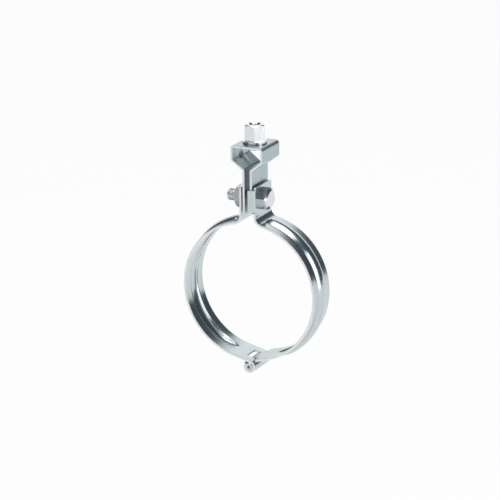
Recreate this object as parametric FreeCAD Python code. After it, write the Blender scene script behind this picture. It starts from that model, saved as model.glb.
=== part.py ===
import FreeCAD, Part
import math
import os

os.makedirs("parts", exist_ok=True)
V = FreeCAD.Vector

# Pipe and strip
# Steel pipe with an outside diameter of 114.3 mm (nominal 100), strip 30 x 2 mm.
pipe_r = 57.15
strip_t = 2.0
band_w = 30.0
ring_r = pipe_r + strip_t / 2

# Ears, bolt height
# The two upright ears stand on both sides of the bracket legs.
ear_x = 6.3
ear_top_z = 88.6
ear_corner_r = 2.0
root_bend_r = 7.0
bolt_z = 76.5
bolt_r = 5.0
hole_clear = 0.8

# Bead pressed outwards along the middle of each half, between two plain lanes that grip the pipe
bead_w = 13.0
bead_h = 2.8
grip_w = 7.8
bead_top_deg = 17.5
bead_bottom_deg = 28.0

# Hinge at the bottom
pin_r = 3.4
pin_fit = 0.06
leave_deg = 14.5
curl_deg = 298.0
knuckle_mid_w = 14.0
knuckle_gap = 0.4
window_edge = 5.8
notch_edge = 5.6
pin_over = 0.5
pin_edge = 0.4
pin_cup_r = 1.5
pin_cup_depth = 2.2

# Folded tab on the right ear that laps the front edge of the bracket leg
tab_h = 18.4
tab_rise = 0.8
tab_reach = 6.0
tab_clear = 0.35
tab_bend_r = 0.7

# Hanging bracket
leg_x = 3.3
leg_bottom_z = 66.0
slope_low_z = 102.4
slope_high_z = 109.8
shoulder_x = 13.3
plate_top_z = 122.4
bend_r = 2.0
plate_w = 31.5
dart_r = 2.6
dart_len = 13.0

# Swivel nut for the hanging rod (W3/8)
rod_af = 16.0
collar_h = 2.2
rod_hex_h = 13.2
rod_crown_r = 7.6
rod_turn_deg = -66.0
rod_minor_r = 4.0
rod_major_r = 4.76
collar_r = 10.0
neck_r = 6.3
neck_fit = 0.1
flange_r = 8.4
flange_t = 2.8
flange_edge_r = 0.9
seat_gap = 0.15

# M10 clamp bolt and nut
bolt_af = 17.0
head_h = 7.0
head_crown_r = 6.6
bolt_len = 31.0
bolt_tip = 0.8
shank_in = 1.0
thread_minor_r = 4.2
nut_af = 17.0
nut_h = 8.0
nut_crown_r = 8.1
thread_clear = 0.05
head_turn_deg = -9.0
nut_turn_deg = 4.0
mouth_depth = 1.0
mouth_over = 0.3

ear_out = ear_x + strip_t / 2
half_w = band_w / 2
rod_hex_z = plate_top_z + collar_h
rod_top_z = rod_hex_z + rod_hex_h
spare = 20.0


def section(x, z, deg, front, back):
    # rectangle of the strip, square to the heading, at a point of its middle line
    a = math.radians(deg)
    n = V(-math.sin(a), 0, math.cos(a)) * (strip_t / 2)
    p = V(x, front, z)
    y = V(0, back - front, 0)
    return Part.Face(Part.makePolygon([p - n, p + n, p + n + y, p - n + y, p - n]))


def bent_strip(x, z, deg, steps, front, back):
    # strip between two values of y that follows straight runs and bends, a bend to the left is positive
    bits = []
    for step in steps:
        face = section(x, z, deg, front, back)
        a = math.radians(deg)
        if step[0] == "run":
            go = V(math.cos(a), 0, math.sin(a)) * step[1]
            bits.append(face.extrude(go))
            x += go.x
            z += go.z
        else:
            r, turn = step[1], step[2]
            side = 1 if turn > 0 else -1
            cx = x - side * r * math.sin(a)
            cz = z + side * r * math.cos(a)
            bits.append(face.revolve(V(cx, 0, cz), V(0, -1, 0), turn))
            deg += turn
            a = math.radians(deg)
            x = cx + side * r * math.sin(a)
            z = cz - side * r * math.cos(a)
    return bits[0].multiFuse(bits[1:]).removeSplitter()


def corner_path(points, r):
    # straight runs and bends of one radius through a row of corner points
    steps = []
    headings = []
    for p, q in zip(points, points[1:]):
        headings.append(math.degrees(math.atan2(q[1] - p[1], q[0] - p[0])))
    trim = 0.0
    for i, (p, q) in enumerate(zip(points, points[1:])):
        length = math.hypot(q[0] - p[0], q[1] - p[1])
        if i + 1 < len(headings):
            turn = (headings[i + 1] - headings[i] + 180) % 360 - 180
            cut = r * math.tan(math.radians(abs(turn)) / 2)
            steps.append(("run", length - trim - cut))
            steps.append(("bend", r, turn))
            trim = cut
        else:
            steps.append(("run", length - trim))
    return headings[0], steps


def hexagon(af, low, high, turn_deg):
    # hexagonal prism along +Z with a corner turned from +X
    r = af / math.sqrt(3)
    pts = []
    for k in range(7):
        a = math.radians(60 * k + turn_deg)
        pts.append(V(r * math.cos(a), r * math.sin(a), low))
    return Part.Face(Part.makePolygon(pts)).extrude(V(0, 0, high - low))


def crowned(af, edge, low, high, at_low, at_high):
    # envelope of a hexagon with a 30 degree cone at one or both ends, down to a flat of radius `edge`
    rim = af * 0.59
    drop = (rim - edge) * math.tan(math.radians(30))
    pts = [(0, low)]
    if at_low:
        pts += [(edge, low), (rim, low + drop)]
    else:
        pts += [(rim, low)]
    if at_high:
        pts += [(rim, high - drop), (edge, high)]
    else:
        pts += [(rim, high)]
    pts += [(0, high), (0, low)]
    wire = Part.makePolygon([V(r, 0, h) for r, h in pts])
    return Part.Face(wire).revolve(V(0, 0, 0), V(0, 0, 1), 360)


def end_rings(shape, z):
    # round edges of a shape that lie at one height
    rings = []
    for edge in shape.Edges:
        flat = abs(edge.BoundBox.ZMax - z) < 0.01 and abs(edge.BoundBox.ZMin - z) < 0.01
        if flat and edge.Curve.TypeId == "Part::GeomCircle":
            rings.append(edge)
    return rings


def bored(shape, r, rim_r, low, high):
    # hole along Z with a countersunk mouth at both ends
    shape = shape.cut(Part.makeCylinder(r, high - low, V(0, 0, low)))
    for z, way in ((low, 1), (high, -1)):
        shape = shape.cut(Part.makeCone(rim_r + mouth_over, r, mouth_depth, V(0, 0, z), V(0, 0, way)))
    return shape


def along_bolt(shape):
    # from the +Z axis to the bolt axis, +Z becomes +X
    shape.rotate(V(0, 0, 0), V(0, 1, 0), 90)
    shape.translate(V(0, 0, bolt_z))
    return shape


def bead_profile(r_arc, centre, base):
    # half of the bead's round back above the radius `base`
    half = math.sqrt(r_arc ** 2 - (base - centre) ** 2)
    mid_a = math.atan2(half, base - centre) / 2
    low = V(0, 0, base)
    top = V(0, 0, centre + r_arc)
    mid = V(0, r_arc * math.sin(mid_a), centre + r_arc * math.cos(mid_a))
    end = V(0, half, base)
    edges = [Part.makeLine(low, top), Part.Arc(top, mid, end).toShape(), Part.makeLine(end, low)]
    return Part.Face(Part.Wire(edges))


def bead_body(r_arc, centre, base, first_deg, last_deg):
    # bead from one angle to another, measured from the top to the right, with domed ends
    half = bead_profile(r_arc, centre, base)
    both = half.fuse(half.mirror(V(0, 0, 0), V(0, 1, 0)))
    both.rotate(V(0, 0, 0), V(0, 1, 0), first_deg)
    run = both.revolve(V(0, 0, 0), V(0, 1, 0), last_deg - first_deg)
    cap = half.revolve(V(0, 0, 0), V(0, 0, 1), 360)
    caps = []
    for deg in (first_deg, last_deg):
        one = cap.copy()
        one.rotate(V(0, 0, 0), V(0, 1, 0), deg)
        caps.append(one)
    return run.multiFuse(caps)


# Band half on the right, before the hinge windows
knuckle_in = pin_r + pin_fit
knuckle_out = knuckle_in + strip_t
pin_z = -(pipe_r + knuckle_out) / math.cos(math.radians(leave_deg))
bend_z = math.sqrt((ring_r + root_bend_r) ** 2 - (ear_x + root_bend_r) ** 2)
root_deg = math.degrees(math.atan2(ear_x + root_bend_r, bend_z))
straight = (pipe_r + knuckle_out) * math.tan(math.radians(leave_deg))
half_path = [
    ("run", ear_top_z - bend_z),
    ("bend", root_bend_r, 90 - root_deg),
    ("bend", ring_r, -(180 - root_deg - leave_deg)),
    ("run", straight),
    ("bend", knuckle_in + strip_t / 2, curl_deg),
]
lane_edges = [-half_w, grip_w - half_w, half_w - grip_w, half_w]
lanes = []
for front, back in zip(lane_edges, lane_edges[1:]):
    lanes.append(bent_strip(ear_x, ear_top_z, -90, half_path, front, back))
half = lanes[0].multiFuse(lanes[1:])

# Bead with an even wall: a round back outside, a matching groove inside
back_r = (bead_w ** 2 / 4 + bead_h ** 2) / (2 * bead_h)
back_c = pipe_r + strip_t + bead_h - back_r
bead = bead_body(back_r, back_c, pipe_r + strip_t * 0.4, bead_top_deg, 180 - bead_bottom_deg)
groove = bead_body(back_r - strip_t, back_c, pipe_r - 1.0, bead_top_deg, 180 - bead_bottom_deg)
half = half.fuse(bead).cut(groove)

# Bolt hole and rounded corners of the ear
hole = along_bolt(Part.makeCylinder(bolt_r + hole_clear, spare, V(0, 0, 0)))
half = half.cut(hole)
corner_z = ear_top_z - ear_corner_r
for side in (-1, 1):
    y = side * (half_w - ear_corner_r)
    low_y = min(y, side * half_w)
    corner = Part.makeBox(spare, ear_corner_r, ear_corner_r, V(0, low_y, corner_z))
    kept = Part.makeCylinder(ear_corner_r, spare, V(0, y, corner_z), V(1, 0, 0))
    half = half.cut(corner.cut(kept))
left_half = half.mirror(V(0, 0, 0), V(1, 0, 0))

# Hinge windows: the right half keeps the middle knuckle, the left half the outer two
mid_keep = knuckle_mid_w / 2
window_half = mid_keep + knuckle_gap
below = pin_z - spare / 2
for y in (-half_w, mid_keep):
    side_cut = Part.makeBox(spare + notch_edge, half_w - mid_keep, spare, V(-spare, y, below))
    half = half.cut(side_cut)
window = Part.makeBox(spare + window_edge, 2 * window_half, spare, V(-window_edge, -window_half, below))
left_half = left_half.cut(window)

# Tab folded inwards from the front edge of the right ear
tab_back = -half_w - tab_clear
tab_front = tab_back - strip_t
ear_in = ear_x - strip_t / 2
inner_x = ear_in - tab_bend_r
bend_in_y = tab_back + tab_bend_r
tab_z = bolt_z + tab_rise - tab_h / 2
tab_tip_x = ear_out - tab_reach
bend_at = V(inner_x, bend_in_y, tab_z)
up = V(0, 0, 1)
notch = Part.makeBox(2 * strip_t, spare, tab_h, V(inner_x, bend_in_y - spare, tab_z))
fold = Part.makeCylinder(tab_bend_r + strip_t, tab_h, bend_at, up, 90)
fold.rotate(bend_at, up, -90)
fold = fold.cut(Part.makeCylinder(tab_bend_r, tab_h, bend_at))
flap = Part.makeBox(inner_x - tab_tip_x, strip_t, tab_h, V(tab_tip_x, tab_front, tab_z))
half = half.cut(notch).multiFuse([fold, flap])

half.exportStep("parts/band_half_right.step")
left_half.exportStep("parts/band_half_left.step")

# Hinge pin with a small cup in each end
pin_len = band_w + 2 * pin_over
pin = Part.makeCylinder(pin_r, pin_len, V(0, -pin_len / 2, pin_z), V(0, 1, 0))
pin = pin.makeChamfer(pin_edge, [e for e in pin.Edges if e.Curve.TypeId == "Part::GeomCircle"])
for side in (-1, 1):
    tip = V(0, side * (pin_len / 2), pin_z)
    cup = Part.makeCone(pin_cup_r, pin_cup_r * 0.6, pin_cup_depth, tip, V(0, -side, 0))
    pin = pin.cut(cup)
pin.exportStep("parts/hinge_pin.step")

# Hanging bracket, one folded strip
plate_mid = plate_top_z - strip_t / 2
points = [
    (-leg_x, leg_bottom_z), (-leg_x, slope_low_z), (-shoulder_x, slope_high_z),
    (-shoulder_x, plate_mid), (shoulder_x, plate_mid), (shoulder_x, slope_high_z),
    (leg_x, slope_low_z), (leg_x, leg_bottom_z),
]
first, steps = corner_path(points, bend_r)
half_plate = plate_w / 2
bracket = bent_strip(points[0][0], points[0][1], first, steps, -half_plate, half_plate)
outline = [
    (-half_w, leg_bottom_z), (-half_w, slope_low_z), (-half_plate, slope_high_z),
    (-half_plate, plate_top_z), (half_plate, plate_top_z), (half_plate, slope_high_z),
    (half_w, slope_low_z), (half_w, leg_bottom_z), (-half_w, leg_bottom_z),
]
side_view = Part.Face(Part.makePolygon([V(-spare, y, z) for y, z in outline]))
bracket = bracket.common(side_view.extrude(V(2 * spare, 0, 0)))

# Space between the middle lines of the bracket, which holds the back of each dart
line = V(0, -half_w, 0)
inside = [V(x, 0, z) + line for x, z in points + points[:1]]
inner_room = Part.Face(Part.makePolygon(inside)).extrude(V(0, band_w, 0))

# Stiffening dart pressed into each shoulder bend
slope_deg = math.degrees(math.atan2(slope_high_z - slope_low_z, shoulder_x - leg_x))
dart_deg = (90 + slope_deg) / 2
dart_out = strip_t / 2 + dart_r * 0.35
for side in (-1, 1):
    a = math.radians(dart_deg)
    along = V(side * math.cos(a), 0, math.sin(a))
    out = V(side * math.sin(a), 0, -math.cos(a))
    start = V(side * shoulder_x, 0, slope_high_z) + out * dart_out - along * (dart_len / 2)
    wall = Part.makeCylinder(dart_r + strip_t, dart_len, start, along).common(inner_room)
    dent = Part.makeCylinder(dart_r, dart_len, start, along)
    bracket = bracket.fuse(wall).cut(dent)

# Holes for the swivel nut and the clamp bolt
bracket = bracket.cut(Part.makeCylinder(neck_r + neck_fit, spare, V(0, 0, plate_top_z - spare / 2)))
leg_holes = Part.makeCylinder(bolt_r + hole_clear, spare, V(-spare / 2, 0, bolt_z), V(1, 0, 0))
bracket = bracket.cut(leg_holes)
bracket.removeSplitter().exportStep("parts/hanger_bracket.step")

# Swivel nut: hexagon on a round collar, neck through the plate, flange swaged below it
seat_z = plate_top_z + seat_gap
under = plate_top_z - strip_t - seat_gap
rod_low = under - flange_t
rod_nut = hexagon(rod_af, rod_hex_z, rod_top_z, rod_turn_deg)
rod_nut = rod_nut.common(crowned(rod_af, rod_crown_r, rod_hex_z, rod_top_z, False, True))
collar = Part.makeCylinder(collar_r, rod_hex_z - seat_z, V(0, 0, seat_z))
neck = Part.makeCylinder(neck_r, seat_z - under, V(0, 0, under))
flange = Part.makeCylinder(flange_r, flange_t, V(0, 0, rod_low))
flange = flange.makeFillet(flange_edge_r, end_rings(flange, rod_low))
rod_nut = rod_nut.multiFuse([collar, neck, flange])
rod_nut = bored(rod_nut, rod_minor_r, rod_major_r, rod_low, rod_top_z)
rod_nut.removeSplitter().exportStep("parts/rod_nut.step")

# Clamp bolt, head against the right ear, thread out past the left ear
head = hexagon(bolt_af, ear_out, ear_out + head_h, 90 + head_turn_deg)
head = head.common(crowned(bolt_af, head_crown_r, ear_out, ear_out + head_h, False, True))
tip_z = ear_out - bolt_len
shank_z = shank_in - ear_out
shank = Part.makeCylinder(bolt_r, ear_out - shank_z, V(0, 0, shank_z))
core = Part.makeCylinder(thread_minor_r, shank_z - tip_z, V(0, 0, tip_z))
core = core.makeChamfer(bolt_tip, end_rings(core, tip_z))
bolt = along_bolt(head.multiFuse([shank, core]).removeSplitter())
bolt.exportStep("parts/clamp_bolt.step")

# Clamp nut against the left ear
nut_far = -ear_out - nut_h
nut = hexagon(nut_af, nut_far, -ear_out, 90 + nut_turn_deg)
nut = nut.common(crowned(nut_af, nut_crown_r, nut_far, -ear_out, True, True))
nut = along_bolt(bored(nut, thread_minor_r + thread_clear, bolt_r, nut_far, -ear_out))
nut.exportStep("parts/clamp_nut.step")
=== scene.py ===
import math

import bmesh
import bpy
from mathutils import Matrix, Vector


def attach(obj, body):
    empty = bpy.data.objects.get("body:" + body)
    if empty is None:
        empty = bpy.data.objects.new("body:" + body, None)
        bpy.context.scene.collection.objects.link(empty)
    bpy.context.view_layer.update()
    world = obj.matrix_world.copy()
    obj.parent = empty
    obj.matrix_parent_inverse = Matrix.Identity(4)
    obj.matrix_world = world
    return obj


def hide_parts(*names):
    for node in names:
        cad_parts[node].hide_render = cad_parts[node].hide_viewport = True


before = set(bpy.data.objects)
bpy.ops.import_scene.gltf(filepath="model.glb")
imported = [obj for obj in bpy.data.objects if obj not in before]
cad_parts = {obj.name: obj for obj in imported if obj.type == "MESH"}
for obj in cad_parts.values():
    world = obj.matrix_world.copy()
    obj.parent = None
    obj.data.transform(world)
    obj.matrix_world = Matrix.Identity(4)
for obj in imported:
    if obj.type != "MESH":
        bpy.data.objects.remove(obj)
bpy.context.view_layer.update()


# Left half of the band
# Galvanised steel strip, 30 x 2 mm: blanked flat with a window at its hinge end, pressed for
# the bead, then rolled round the pipe, with an upright ear and two knuckles for the pin.
MM = 0.001
strip_t = 2.0
edge_roll = 0.28
pipe_r = 57.15
ring_r = pipe_r + strip_t / 2
half_w = 15.0
ear_x = 6.3
ear_top_z = 88.6
ear_corner_r = 2.0
root_r = 7.0
bolt_z = 76.5
hole_r = 5.8
knuckle_r = 4.46
leave = math.radians(14.5)
curl = math.radians(298)
bead_high = 2.8
bead_half = 7.0
bead_first = math.radians(17)
bead_last = math.radians(145)
bead_fade = 2.8
bead_crown_share = 0.86
window_x = 5.8
window_half = 7.4

root_z = math.sqrt((ring_r + root_r) ** 2 - (ear_x + root_r) ** 2)
root_turn = math.atan2(ear_x + root_r, root_z)
ear_run = ear_top_z - root_z
hinge_run = (ring_r + knuckle_r) * math.tan(leave)
half_path = [
    (ear_x, ear_top_z, -math.pi / 2),
    ("run", ear_run, 0),
    ("bend", root_r, math.pi / 2 - root_turn),
    ("bend", ring_r, -(math.pi - root_turn - leave)),
    ("run", hinge_run, 0),
    ("bend", knuckle_r, curl),
]
ring_from = ear_run + root_r * (math.pi / 2 - root_turn)
ring_to = ring_from + ring_r * (math.pi - root_turn - leave)
curl_from = ring_to + hinge_run
strip_end = curl_from + knuckle_r * curl
bead_from = ring_from + ring_r * (bead_first - root_turn)
bead_to = ring_from + ring_r * (bead_last - root_turn)


def middle_at(path, u):
    # place and heading of a bent strip's middle line, u mm from its first end
    x, z, a = path[0]
    for kind, size, turn in path[1:]:
        length = size if kind == "run" else size * abs(turn)
        part = min(u, length)
        if kind == "run":
            x += part * math.cos(a)
            z += part * math.sin(a)
        else:
            side = 1 if turn > 0 else -1
            middle_x = x - side * size * math.sin(a)
            middle_z = z + side * size * math.cos(a)
            a += side * part / size
            x = middle_x + side * size * math.sin(a)
            z = middle_z - side * size * math.cos(a)
        u -= part
        if u <= 0:
            break
    return x, z, a


def spread(first, last, step):
    # even cut lines from first to last
    count = max(1, round((last - first) / step))
    return [first + (last - first) * k / count for k in range(count + 1)]


def round_hole(u, v, r, sides=48):
    turns = [2 * math.pi * k / sides for k in range(sides)]
    return [(u + r * math.cos(turn), v + r * math.sin(turn)) for turn in turns]


def soft_corners(corners, steps=5):
    # outline through corner points (u, v, radius) with each corner rounded
    ring = []
    for k, (u, v, r) in enumerate(corners):
        here = Vector((u, v))
        if r == 0:
            ring.append((u, v))
            continue
        back = (Vector(corners[k - 1][:2]) - here).normalized()
        on = (Vector(corners[(k + 1) % len(corners)][:2]) - here).normalized()
        for step in range(steps + 1):
            t = step / steps
            a = here + back * r
            b = here + on * r
            ring.append(tuple((1 - t) ** 2 * a + 2 * t * (1 - t) * here + t ** 2 * b))
    return ring


def cut_blank(outline, holes, u_cuts, v_cuts):
    # flat sheared blank with slightly rolled edges, divided on the lines where it will bend
    curve = bpy.data.curves.new("blank", "CURVE")
    curve.dimensions = "2D"
    curve.fill_mode = "BOTH"
    curve.extrude = strip_t / 2 - edge_roll
    curve.bevel_depth = edge_roll
    curve.bevel_resolution = 1
    curve.offset = -edge_roll
    for ring in [outline] + holes:
        spline = curve.splines.new("POLY")
        spline.points.add(len(ring) - 1)
        for point, (u, v) in zip(spline.points, ring):
            point.co = (u, v, 0, 1)
        spline.use_cyclic_u = True
    sheet = bmesh.new()
    sheet.from_mesh(bpy.data.meshes.new_from_object(bpy.data.objects.new("blank", curve)))
    bmesh.ops.remove_doubles(sheet, verts=sheet.verts, dist=0.002)
    for normal, cuts in ((Vector((1, 0, 0)), u_cuts), (Vector((0, 1, 0)), v_cuts)):
        for at in cuts:
            parts = sheet.verts[:] + sheet.edges[:] + sheet.faces[:]
            bmesh.ops.bisect_plane(sheet, geom=parts, dist=0.001, plane_co=normal * at, plane_no=normal)
    sheet.normal_update()
    slanted = []
    for edge in sheet.edges:
        run = edge.verts[1].co - edge.verts[0].co
        level = len(edge.link_faces) == 2 and all(abs(face.normal.z) > 0.999 for face in edge.link_faces)
        if level and min(abs(run.x), abs(run.y)) > 0.002:
            slanted.append(edge)
    bmesh.ops.dissolve_edges(sheet, edges=slanted, use_verts=False)
    flat = sheet.loops.layers.uv.new("flat")
    # Side faces, the sheared edges, take the second material: a lighter zinc that is a painted highlight for
    # the light they catch from the front.
    for face in sheet.faces:
        face.material_index = 1 if abs(face.normal.z) < 0.9 else 0
        for loop in face.loops:
            loop[flat].uv = (loop.vert.co.x / 100, (loop.vert.co.y + loop.vert.co.z) / 100)
    return sheet


def form(sheet, place, name, mirrored=False):
    # bends every point of the blank to its place, and keeps the sheared corners crisp
    for vert in sheet.verts:
        x, y, z = place(*vert.co)
        vert.co = Vector((-x if mirrored else x, y, z)) * MM
    bmesh.ops.recalc_face_normals(sheet, faces=sheet.faces)
    mesh = bpy.data.meshes.new(name)
    sheet.to_mesh(mesh)
    sheet.free()
    mesh.shade_smooth()
    mesh.set_sharp_from_angle(angle=math.radians(40))
    piece = bpy.data.objects.new(name, mesh)
    bpy.context.collection.objects.link(piece)
    even = piece.modifiers.new("even_shading", "WEIGHTED_NORMAL")
    even.keep_sharp = True
    return piece


def bead_rise(d):
    # height of the pressed bead at d mm from its middle line, with rounded feet
    bow = 2 * math.atan2(bead_high, bead_half)
    both = bead_half / math.sin(bow)
    crown = both * bead_crown_share
    foot = both - crown
    if d >= bead_half:
        return 0.0
    if d > crown * math.sin(bow):
        return foot - math.sqrt(foot ** 2 - (bead_half - d) ** 2)
    return bead_high - crown + math.sqrt(crown ** 2 - d ** 2)


def half_place(u, v, w):
    past_end = max(bead_from - u, (u - bead_to) / bead_fade, 0)
    out = w + bead_rise(math.hypot(v, past_end))
    x, z, a = middle_at(half_path, u)
    return x - math.sin(a) * out, v, z + math.cos(a) * out


root_step = 0.6
ring_step = 1.1
curl_step = 0.55
bead_step = 0.5
beside_bead = [-14.0, -12.0, -9.5, 9.5, 12.0, 14.0]
half_u_cuts = spread(ear_run, ring_from, root_step) + spread(ring_from, ring_to, ring_step)
half_u_cuts += spread(curl_from, strip_end, curl_step)
half_v_cuts = spread(-bead_half, bead_half, bead_step) + beside_bead
window_u = ring_to + (ring_r * math.sin(leave) - window_x) / math.cos(leave)
left_outline = soft_corners([
    (0, -half_w, ear_corner_r), (0, half_w, ear_corner_r),
    (strip_end, half_w, 0.4), (strip_end, window_half, 0.4),
    (window_u, window_half, 0.8), (window_u, -window_half, 0.8),
    (strip_end, -window_half, 0.4), (strip_end, -half_w, 0.4),
])
ear_hole = round_hole(ear_top_z - bolt_z, 0, hole_r)
left_blank = cut_blank(left_outline, [ear_hole], half_u_cuts, half_v_cuts)
left_strip = form(left_blank, half_place, "left_band_strip", True)
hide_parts("band_half_left")
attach(left_strip, "hanger")


def noise(tree, coords, scale, detail=3.0, rough=0.5, stretch=None):
    # cloudy pattern over a surface, stretched along one way if asked
    if stretch:
        lay = tree.nodes.new("ShaderNodeMapping")
        lay.inputs["Scale"].default_value = stretch
        tree.links.new(coords, lay.inputs["Vector"])
        coords = lay.outputs["Vector"]
    cloud = tree.nodes.new("ShaderNodeTexNoise")
    cloud.inputs["Scale"].default_value = scale
    cloud.inputs["Detail"].default_value = detail
    cloud.inputs["Roughness"].default_value = rough
    tree.links.new(coords, cloud.inputs["Vector"])
    return cloud.outputs["Fac"]


def between(tree, value, low, high, from_low=0.3, from_high=0.7):
    # turns a pattern's values into a range
    span = tree.nodes.new("ShaderNodeMapRange")
    span.inputs["From Min"].default_value = from_low
    span.inputs["From Max"].default_value = from_high
    span.inputs["To Min"].default_value = low
    span.inputs["To Max"].default_value = high
    tree.links.new(value, span.inputs["Value"])
    return span.outputs["Result"]


def tinted(tree, value, dark, light):
    # colour between two tints, following a pattern
    ramp = tree.nodes.new("ShaderNodeValToRGB")
    ramp.color_ramp.elements[0].position = 0.3
    ramp.color_ramp.elements[0].color = (*dark, 1)
    ramp.color_ramp.elements[1].position = 0.7
    ramp.color_ramp.elements[1].color = (*light, 1)
    tree.links.new(value, ramp.inputs["Fac"])
    return ramp.outputs["Color"]


def raised(tree, height, shader, depth):
    # fine relief from a pattern, depth in metres
    relief = tree.nodes.new("ShaderNodeBump")
    relief.inputs["Distance"].default_value = depth
    relief.inputs["Strength"].default_value = 1.0
    tree.links.new(height, relief.inputs["Height"])
    tree.links.new(relief.outputs["Normal"], shader.inputs["Normal"])


def worked(tree, operation, *values):
    # one step of arithmetic on patterns and numbers
    step = tree.nodes.new("ShaderNodeMath")
    step.operation = operation
    for socket, value in zip(step.inputs, values):
        if isinstance(value, float):
            socket.default_value = value
        else:
            tree.links.new(value, socket)
    return step.outputs[0]


def strip_zinc(name, dark, light, smooth, dull):
    # zinc on cold-rolled strip: long faint rolling lines, cloudy patches and small specks
    zinc = bpy.data.materials.new(name)
    zinc.use_nodes = True
    tree = zinc.node_tree
    shader = tree.nodes["Principled BSDF"]
    shader.inputs["Metallic"].default_value = 1.0
    flat = tree.nodes.new("ShaderNodeTexCoord").outputs["UV"]
    clouds = noise(tree, flat, 16, 4.0, 0.6)
    lines = noise(tree, flat, 1.0, 4.0, 0.65, (14, 420, 1))
    specks = noise(tree, flat, 260, 2.0, 0.5)
    tree.links.new(tinted(tree, clouds, dark, light), shader.inputs["Base Color"])
    mixed = worked(tree, "MULTIPLY_ADD", lines, 0.5, worked(tree, "MULTIPLY", clouds, 0.5))
    tree.links.new(between(tree, mixed, smooth, dull, 0.35, 0.65), shader.inputs["Roughness"])
    raised(tree, worked(tree, "MULTIPLY_ADD", specks, 0.35, lines), shader, 0.00002)
    return zinc


band_zinc = strip_zinc("band_zinc", (0.51, 0.565, 0.58), (0.61, 0.665, 0.68), 0.14, 0.27)
# The edge zinc is a much lighter copy of the strip zinc. Its lightness is a painted highlight for the light
# the sheared edges catch from the front. Its higher roughness is the edges' own sheared finish.
edge_zinc_painted_highlight = strip_zinc("edge_zinc_painted_highlight", (0.80, 0.83, 0.84), (0.90, 0.92, 0.93), 0.34, 0.46)
for zinc in (band_zinc, edge_zinc_painted_highlight):
    left_strip.data.materials.append(zinc)


# Right half of the band
# The same strip with its tongue curled into the middle knuckle, and a tab on the front edge of
# its ear that is folded round the leg of the bracket, so that the bracket stays square.
notch_x = 5.6
tongue_half = 7.0
tab_low_z = 68.1
tab_high_z = 86.5
tab_tip_x = 1.3
tab_fold_r = 1.7
tab_fold_x = 4.6
tab_fold_y = -14.65
tab_margin = 0.2
relief_cut = 0.9
relief_r = 0.3
ear_trim = 0.3
tab_step = 0.3
tab_fold = tab_fold_r * math.pi / 2
tab_end_v = tab_fold_y - tab_fold - (tab_fold_x - tab_tip_x)
notch_u = ring_to + (ring_r * math.sin(leave) - notch_x) / math.cos(leave)
tab_u = (ear_top_z - tab_high_z, ear_top_z - tab_low_z)


def right_place(u, v, w):
    if v > tab_fold_y or u > tab_u[1] + tab_margin or u < tab_u[0] - tab_margin:
        return half_place(u, v, w)
    past = tab_fold_y - v
    turn = min(past, tab_fold) / tab_fold_r
    on = max(past - tab_fold, 0)
    r = tab_fold_r + w
    return tab_fold_x + r * math.cos(turn) - on, tab_fold_y - r * math.sin(turn), ear_top_z - u


right_outline = soft_corners([
    (0, half_w, ear_corner_r), (notch_u, half_w, 0.4), (notch_u, tongue_half, 0.8),
    (strip_end, tongue_half, 0.4), (strip_end, -tongue_half, 0.4),
    (notch_u, -tongue_half, 0.8), (notch_u, -half_w, 0.4),
    (tab_u[1] + relief_cut, -half_w, relief_r), (tab_u[1] + relief_cut, -half_w + relief_cut, relief_r),
    (tab_u[1], -half_w + relief_cut, relief_r),
    (tab_u[1], tab_end_v, 0.8), (tab_u[0], tab_end_v, 0.8),
    (tab_u[0], -half_w + 2 * ear_trim, 0), (tab_u[0] - ear_trim, -half_w + ear_trim, 0),
    (0, -half_w + ear_trim, 1.6),
])
right_v_cuts = half_v_cuts + spread(tab_fold_y - tab_fold, tab_fold_y, tab_step)
right_blank = cut_blank(right_outline, [ear_hole], half_u_cuts, right_v_cuts)
right_strip = form(right_blank, right_place, "right_band_strip")
# the sheared edges take the lighter zinc, a painted highlight
for zinc in (band_zinc, edge_zinc_painted_highlight):
    right_strip.data.materials.append(zinc)
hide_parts("band_half_right")
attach(right_strip, "right_half")


# Hinge pin
# Short steel pin through the three knuckles, its ends set with a round punch.
def turned_zinc(name, dark, light, smooth, dull):
    # zinc on turned and forged steel: fine grain, small dents and cloudy passivation
    zinc = bpy.data.materials.new(name)
    zinc.use_nodes = True
    tree = zinc.node_tree
    shader = tree.nodes["Principled BSDF"]
    shader.inputs["Metallic"].default_value = 1.0
    place = tree.nodes.new("ShaderNodeTexCoord").outputs["Object"]
    clouds = noise(tree, place, 240, 3.0, 0.6)
    grain = noise(tree, place, 2600, 3.0, 0.6)
    dents = noise(tree, place, 700, 2.0, 0.5)
    tree.links.new(tinted(tree, clouds, dark, light), shader.inputs["Base Color"])
    tree.links.new(between(tree, dents, smooth, dull), shader.inputs["Roughness"])
    raised(tree, worked(tree, "MULTIPLY_ADD", grain, 0.3, dents), shader, 0.000012)
    return zinc


def coat(piece, zinc):
    piece.data.materials.clear()
    piece.data.materials.append(zinc)


pin_zinc = turned_zinc("pin_zinc", (0.58, 0.60, 0.61), (0.72, 0.74, 0.75), 0.26, 0.42)
coat(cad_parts["hinge_pin"], pin_zinc)


# Hanger bracket
# One zinc-plated strip folded to a box with two legs: a plate with the hole for the swivel
# nut, two walls, two slopes, and a dart pressed across each shoulder to stiffen it.
leg_x = 3.3
leg_end_z = 66.0
slope_low_z = 102.4
slope_high_z = 109.8
shoulder_x = 13.3
plate_z = 121.4
fold_r = 2.0
plate_half = 15.75
neck_hole_r = 6.4
dart_r = 2.6
dart_long = 13.0
dart_sink = 0.35
dart_reach = 4
dart_side_slope = 2
dart_soft = 0.65
dart_soft_change = 0.35
bracket_corners = [
    (-leg_x, leg_end_z), (-leg_x, slope_low_z), (-shoulder_x, slope_high_z), (-shoulder_x, plate_z),
    (shoulder_x, plate_z), (shoulder_x, slope_high_z), (leg_x, slope_low_z), (leg_x, leg_end_z),
]


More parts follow.
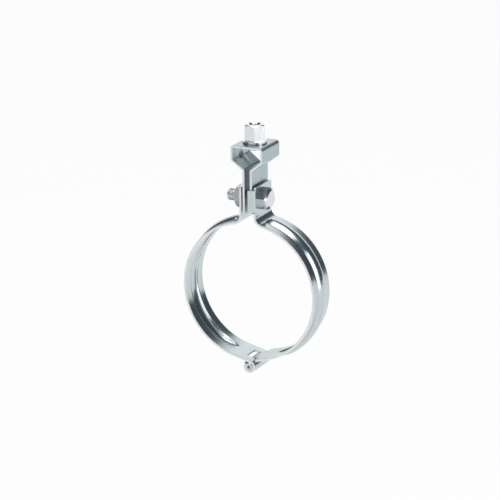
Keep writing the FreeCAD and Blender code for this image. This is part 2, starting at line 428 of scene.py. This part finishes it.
def folded_path(corners, r):
    # straight runs and equal bends through a row of corner points, and the length at each bend
    turns = [math.atan2(q[1] - p[1], q[0] - p[0]) for p, q in zip(corners, corners[1:])]
    path = [(corners[0][0], corners[0][1], turns[0])]
    at = []
    trim = 0.0
    along = 0.0
    for k, (p, q) in enumerate(zip(corners, corners[1:])):
        length = math.dist(p, q)
        if k + 1 < len(turns):
            turn = (turns[k + 1] - turns[k] + math.pi) % (2 * math.pi) - math.pi
            cut = r * math.tan(abs(turn) / 2)
            path.append(("run", length - trim - cut, 0))
            path.append(("bend", r, turn))
            at.append((along + length - trim - cut, along + length - trim - cut + r * abs(turn)))
            along = at[-1][1]
            trim = cut
        else:
            path.append(("run", length - trim, 0))
            along += length - trim
    return path, at, along


bracket_path, folds, bracket_long = folded_path(bracket_corners, fold_r)
slope_turn = math.atan2(slope_high_z - slope_low_z, shoulder_x - leg_x)
dart_turn = (math.pi / 2 + slope_turn) / 2
dart_along = Vector((math.cos(dart_turn), math.sin(dart_turn)))
dart_out = Vector((math.sin(dart_turn), -math.cos(dart_turn)))
dart_at = Vector((shoulder_x, slope_high_z)) + dart_out * (strip_t / 2 + dart_r * dart_sink)


def bracket_place(u, v, w):
    # the fold's own place, pushed inwards at the dart, more softly on the inside
    x, z, a = middle_at(bracket_path, u)
    x -= math.sin(a) * w
    z += math.cos(a) * w
    side = 1 if x > 0 else -1
    off = Vector((abs(x), z)) - dart_at
    if abs(off.dot(dart_along)) < dart_long / 2 + dart_reach:
        r = dart_r + strip_t / 2 - w
        stop = -math.sqrt(r * r - v * v) if abs(v) < r else (abs(v) - r) * dart_side_slope
        out = off.dot(dart_out)
        soft = dart_soft - dart_soft_change * w
        pushed = -soft * math.log(math.exp(-out / soft) + math.exp(-stop / soft))
        moved = Vector((abs(x), z)) + dart_out * (pushed - out)
        x, z = side * moved.x, moved.y
    return x, v, z


bracket_outline = soft_corners([
    (0, -half_w, 0.8), (folds[0][0], -half_w, 0), (folds[1][0], -plate_half, 0),
    (bracket_long - folds[1][0], -plate_half, 0), (bracket_long - folds[0][0], -half_w, 0),
    (bracket_long, -half_w, 0.8), (bracket_long, half_w, 0.8), (bracket_long - folds[0][0], half_w, 0),
    (bracket_long - folds[1][0], plate_half, 0), (folds[1][0], plate_half, 0),
    (folds[0][0], half_w, 0), (0, half_w, 0.8),
])
bracket_holes = [
    round_hole(bolt_z - leg_end_z, 0, hole_r),
    round_hole(bracket_long - bolt_z + leg_end_z, 0, hole_r),
    round_hole(bracket_long / 2, 0, neck_hole_r),
]
fold_step = 0.35
near_dart = 7
dart_u_step = 0.45
dart_v_step = 0.4
dart_v = 5.6
beside_dart = [-14, -12, -9, 9, 12, 14]
bracket_u_cuts = []
for first, last in folds:
    bracket_u_cuts += spread(first, last, fold_step)
for first, last in (folds[1], folds[4]):
    bracket_u_cuts += spread(first - near_dart, first, dart_u_step)[:-1]
    bracket_u_cuts += spread(last, last + near_dart, dart_u_step)[1:]
bracket_v_cuts = spread(-dart_v, dart_v, dart_v_step) + beside_dart
bracket_blank = cut_blank(bracket_outline, bracket_holes, bracket_u_cuts, bracket_v_cuts)
bracket_strip = form(bracket_blank, bracket_place, "bracket_strip")
bracket_zinc = strip_zinc("bracket_zinc", (0.41, 0.495, 0.52), (0.50, 0.58, 0.60), 0.26, 0.40)
# the sheared edges take the lighter zinc, a painted highlight
for zinc in (bracket_zinc, edge_zinc_painted_highlight):
    bracket_strip.data.materials.append(zinc)
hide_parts("hanger_bracket")
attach(bracket_strip, "hanger")


# Swivel nut for the hanging rod
# Turned from hexagon bar: hexagon, round collar, a neck through the plate and a flange swaged
# below it, tapped right through for the 3/8 inch rod, zinc plated.
rod_crest_r = 4.0
rod_root_r = 4.72
rod_pitch = 25.4 / 16
rod_low_z = 117.45
rod_top_z = 137.8
tap_past = 3
tap_play = 0.1
thread_fade = 1.0
edge_break = 0.12
edge_angle = math.radians(20)


def threaded_rod(name, low, high, core_r, crest_r, pitch, sides=48):
    # closed screw along Z, right-handed, its thread running out at both ends
    profile = [(0.0, 0.0), (0.42, 1.0), (0.56, 1.0), (1.0, 0.0)]
    first = math.floor(low / pitch) - 1
    last = math.ceil(high / pitch) + 1
    mesh = bmesh.new()
    rows = []
    for k in range((last - first) * sides + 1):
        turn = 2 * math.pi * k / sides
        row = []
        for share, height in profile:
            z = (first + k / sides + share) * pitch
            z = min(max(z, low), high)
            fade = min(1.0, (z - low) / thread_fade, (high - z) / thread_fade)
            r = core_r + (crest_r - core_r) * height * fade
            row.append(mesh.verts.new((r * math.cos(turn), r * math.sin(turn), z)))
        rows.append(row)
    for a, b in zip(rows, rows[1:]):
        for k in range(len(profile) - 1):
            mesh.faces.new((a[k], b[k], b[k + 1], a[k + 1]))
    bmesh.ops.remove_doubles(mesh, verts=mesh.verts, dist=0.001)
    bmesh.ops.dissolve_degenerate(mesh, edges=mesh.edges, dist=0.0005)
    ends = [edge for edge in mesh.edges if edge.is_boundary]
    bmesh.ops.edgeloop_fill(mesh, edges=ends)
    bmesh.ops.recalc_face_normals(mesh, faces=mesh.faces)
    data = bpy.data.meshes.new(name)
    mesh.to_mesh(data)
    mesh.free()
    return bpy.data.objects.new(name, data)


def softened(node, name, tool=None):
    # the solid's own form with its sharp edges broken, and cut by a tap if given
    mesh = bmesh.new()
    mesh.from_mesh(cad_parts[node].data)
    bmesh.ops.remove_doubles(mesh, verts=mesh.verts, dist=0.000001)
    bmesh.ops.dissolve_limit(mesh, angle_limit=math.radians(0.4), verts=mesh.verts, edges=mesh.edges)
    closed = [edge for edge in mesh.edges if len(edge.link_faces) == 2]
    sharp = [edge for edge in closed if edge.calc_face_angle() > edge_angle]
    bmesh.ops.bevel(
        mesh, geom=sharp, offset=edge_break * MM, segments=2, affect="EDGES", profile=0.5, clamp_overlap=True)
    data = bpy.data.meshes.new(name)
    mesh.to_mesh(data)
    mesh.free()
    piece = bpy.data.objects.new(name, data)
    bpy.context.collection.objects.link(piece)
    if tool:
        bpy.context.collection.objects.link(tool)
        cut = piece.modifiers.new("tapped", "BOOLEAN")
        cut.operation = "DIFFERENCE"
        cut.object = tool
        cut.solver = "EXACT"
        ready = piece.evaluated_get(bpy.context.evaluated_depsgraph_get())
        piece.data = bpy.data.meshes.new_from_object(ready)
        piece.modifiers.clear()
        bpy.data.objects.remove(tool)
    piece.data.shade_smooth()
    piece.data.set_sharp_from_angle(angle=math.radians(32))
    even = piece.modifiers.new("even_shading", "WEIGHTED_NORMAL")
    even.keep_sharp = True
    return piece


rod_tap = threaded_rod(
    "rod_tap", rod_low_z - tap_past, rod_top_z + tap_past, rod_crest_r - tap_play, rod_root_r, rod_pitch)
rod_tap.data.transform(Matrix.Scale(MM, 4))
swivel_nut = softened("rod_nut", "swivel_nut", rod_tap)
nut_zinc = turned_zinc("nut_zinc", (0.68, 0.71, 0.72), (0.76, 0.785, 0.795), 0.12, 0.22)
coat(swivel_nut, nut_zinc)
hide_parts("rod_nut")
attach(swivel_nut, "swivel_nut")


# Clamp bolt
# Forged M10 hexagon bolt, its thread rolled to a blunt tip, zinc plated.
bolt_tip_x = -23.7
thread_inset = 0.02
thread_low_x = -6.0
bolt_core_r = 4.24
bolt_crest_r = 4.97
bolt_pitch = 1.5
on_bolt = Matrix.Translation((0, 0, bolt_z * MM)) @ Matrix.Rotation(math.pi / 2, 4, "Y") @ Matrix.Scale(MM, 4)
bolt_body = softened("clamp_bolt", "clamp_bolt_body")
bolt_thread = threaded_rod(
    "clamp_bolt_thread", bolt_tip_x + thread_inset, thread_low_x, bolt_core_r, bolt_crest_r, bolt_pitch)
bolt_thread.data.transform(on_bolt)
bpy.context.collection.objects.link(bolt_thread)
bolt_thread.data.shade_smooth()
bolt_thread.data.set_sharp_from_angle(angle=math.radians(25))
bolt_zinc = turned_zinc("bolt_zinc", (0.78, 0.805, 0.815), (0.86, 0.88, 0.89), 0.42, 0.56)
for piece, zinc in ((bolt_body, nut_zinc), (bolt_thread, bolt_zinc)):
    coat(piece, zinc)
    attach(piece, "bolt")
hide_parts("clamp_bolt")


# Clamp nut
# M10 hexagon nut, chamfered on both faces and tapped, zinc plated.
nut_tap_low_x = -18.0
nut_tap_high_x = -4.0
nut_core_r = 4.1
nut_play = 0.05
nut_tap = threaded_rod(
    "nut_tap", nut_tap_low_x, nut_tap_high_x, nut_core_r, bolt_crest_r + nut_play, bolt_pitch)
nut_tap.data.transform(on_bolt)
hex_nut = softened("clamp_nut", "clamp_hex_nut", nut_tap)
coat(hex_nut, bolt_zinc)
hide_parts("clamp_nut")
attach(hex_nut, "nut")


# Floor and light
# A plain white floor well below the band, a white backdrop behind it and a white ceiling in a
# room with darker walls, and soft boxes above, in front, at the right and behind.
floor_z = -0.16
floor_side = 2.6
floor_colour = (0.86, 0.87, 0.88, 1)
glow_share = 0.95
wall_colour = (0.065, 0.088, 0.102, 1)
pale_colour = (0.92, 0.93, 0.94, 1)
white = (1, 1, 1, 1)
ceiling_rise = (0.82, 0.90)
backdrop_way = (-0.42, 0.91, 0)
backdrop_rise = (0.73, 0.78)
floor_mesh = bpy.data.meshes.new("floor")
floor_corners = [(x * floor_side, y * floor_side, floor_z) for x, y in ((-1, -1), (1, -1), (1, 1), (-1, 1))]
floor_mesh.from_pydata(floor_corners, [], [(0, 1, 2, 3)])
floor = bpy.data.objects.new("floor", floor_mesh)
bpy.context.collection.objects.link(floor)
floor_paint = bpy.data.materials.new("floor_paint")
floor_paint.use_nodes = True
tree = floor_paint.node_tree
tree.nodes.clear()
output = tree.nodes.new("ShaderNodeOutputMaterial")
matt = tree.nodes.new("ShaderNodeBsdfDiffuse")
matt.inputs["Color"].default_value = floor_colour
glow = tree.nodes.new("ShaderNodeEmission")
glow.inputs["Color"].default_value = white
path = tree.nodes.new("ShaderNodeLightPath")
mirrored = worked(tree, "MAXIMUM", path.outputs["Is Glossy Ray"], path.outputs["Is Transmission Ray"])
seen = worked(tree, "MAXIMUM", path.outputs["Is Camera Ray"], mirrored)
mix = tree.nodes.new("ShaderNodeMixShader")
tree.links.new(worked(tree, "MULTIPLY", seen, glow_share), mix.inputs["Fac"])
tree.links.new(matt.outputs[0], mix.inputs[1])
tree.links.new(glow.outputs[0], mix.inputs[2])
tree.links.new(mix.outputs[0], output.inputs["Surface"])
floor_mesh.materials.append(floor_paint)


def smooth_rise(tree, value, low, high):
    # from nothing to full between two values
    rise = tree.nodes.new("ShaderNodeMapRange")
    rise.interpolation_type = "SMOOTHSTEP"
    rise.inputs["From Min"].default_value = low
    rise.inputs["From Max"].default_value = high
    tree.links.new(value, rise.inputs["Value"])
    return rise.outputs["Result"]


world = bpy.data.worlds.new("studio")
bpy.context.scene.world = world
world.use_nodes = True
tree = world.node_tree
tree.nodes.clear()
output = tree.nodes.new("ShaderNodeOutputWorld")
way = tree.nodes.new("ShaderNodeTexCoord").outputs["Generated"]
split = tree.nodes.new("ShaderNodeSeparateXYZ")
tree.links.new(way, split.inputs[0])
ceiling = smooth_rise(tree, split.outputs["Z"], *ceiling_rise)
behind = tree.nodes.new("ShaderNodeVectorMath")
behind.operation = "DOT_PRODUCT"
behind.inputs[1].default_value = backdrop_way
tree.links.new(way, behind.inputs[0])
backdrop = smooth_rise(tree, behind.outputs["Value"], *backdrop_rise)
room = tree.nodes.new("ShaderNodeMix")
room.data_type = "RGBA"
room.inputs["A"].default_value = wall_colour
room.inputs["B"].default_value = pale_colour
tree.links.new(worked(tree, "MAXIMUM", ceiling, backdrop), room.inputs["Factor"])
straight = tree.nodes.new("ShaderNodeMix")
straight.data_type = "RGBA"
straight.inputs["B"].default_value = white
tree.links.new(room.outputs["Result"], straight.inputs["A"])
tree.links.new(tree.nodes.new("ShaderNodeLightPath").outputs["Is Camera Ray"], straight.inputs["Factor"])
around = tree.nodes.new("ShaderNodeBackground")
tree.links.new(straight.outputs["Result"], around.inputs["Color"])
tree.links.new(around.outputs[0], output.inputs["Surface"])


def soft_box(name, place, wide, high, watts):
    # a lamp behind a white sheet, turned to the middle of the ring
    lamp = bpy.data.lights.new(name, "AREA")
    lamp.shape = "RECTANGLE"
    lamp.size = wide
    lamp.size_y = high
    lamp.energy = watts
    box = bpy.data.objects.new(name, lamp)
    box.location = place
    box.rotation_euler = (-Vector(place)).to_track_quat("-Z", "Y").to_euler()
    bpy.context.collection.objects.link(box)


soft_box("top_box", (0.05, -0.1, 1.1), 1.0, 0.8, 7)
soft_box("front_box", (-0.1, -2.35, 0.85), 3.6, 1.0, 8)
soft_box("right_box", (1.2, -0.2, 0.35), 0.6, 1.0, 4)
soft_box("back_box", (-0.4, 1.41, 0.64), 0.9, 0.6, 0.4)


# Camera
# The photograph's long lens, from the front right and a little above.
camera = bpy.data.objects.new("camera", bpy.data.cameras.new("camera"))
bpy.context.collection.objects.link(camera)
bpy.context.scene.camera = camera
camera.data.sensor_width = 36.0
camera.data.lens = 200.9
camera.data.clip_end = 20.0
right = Vector((0.8983, 0.4392, -0.0103)).normalized()
view = Vector((-0.4225, 0.8572, -0.2942)).normalized()
up = right.cross(view).normalized()
right = view.cross(up)
camera.matrix_world = Matrix((
    (right.x, up.x, -view.x, 0.9570),
    (right.y, up.y, -view.y, -1.9526),
    (right.z, up.z, -view.z, 0.7010),
    (0, 0, 0, 1),
))

bpy.context.scene.view_settings.view_transform = "Standard"
